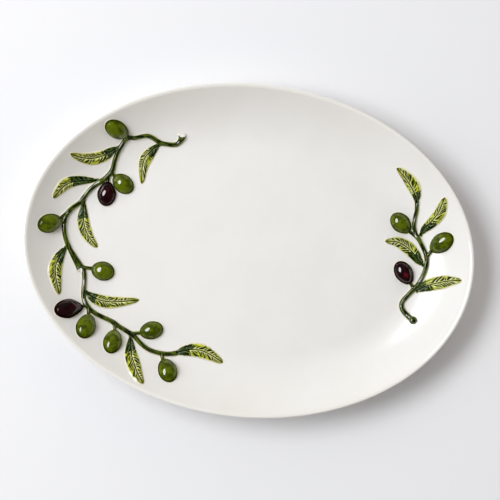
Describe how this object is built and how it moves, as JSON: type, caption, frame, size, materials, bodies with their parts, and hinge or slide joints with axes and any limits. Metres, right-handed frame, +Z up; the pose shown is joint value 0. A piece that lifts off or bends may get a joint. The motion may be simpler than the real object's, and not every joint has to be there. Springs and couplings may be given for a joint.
{
  "type": "oval serving platter",
  "caption": "Oval serving platter of cream glazed ceramic with two olive sprigs, fruit and leaves moulded on it in painted relief; shallow, on a foot ring.",
  "frame": {"origin": "middle of the platter, on the plane its foot ring stands on", "axes": "+X along the platter's length towards the small sprig, +Y across it, +Z up out of the well"},
  "size_m": [0.4, 0.295, 0.034],
  "materials": {
    "cream_glaze": "glossy cream glaze",
    "stem_glaze": "glossy deep green underglaze paint",
    "leaf_glaze": "glossy yellow green underglaze paint, dark in the veins and at the stalk",
    "green_olive_glaze": "glossy olive green underglaze paint",
    "ripe_olive_glaze": "glossy near black maroon underglaze paint"
  },
  "bodies": {
    "root": {"platter": "cream_glaze"}
  },
  "joints": []
}
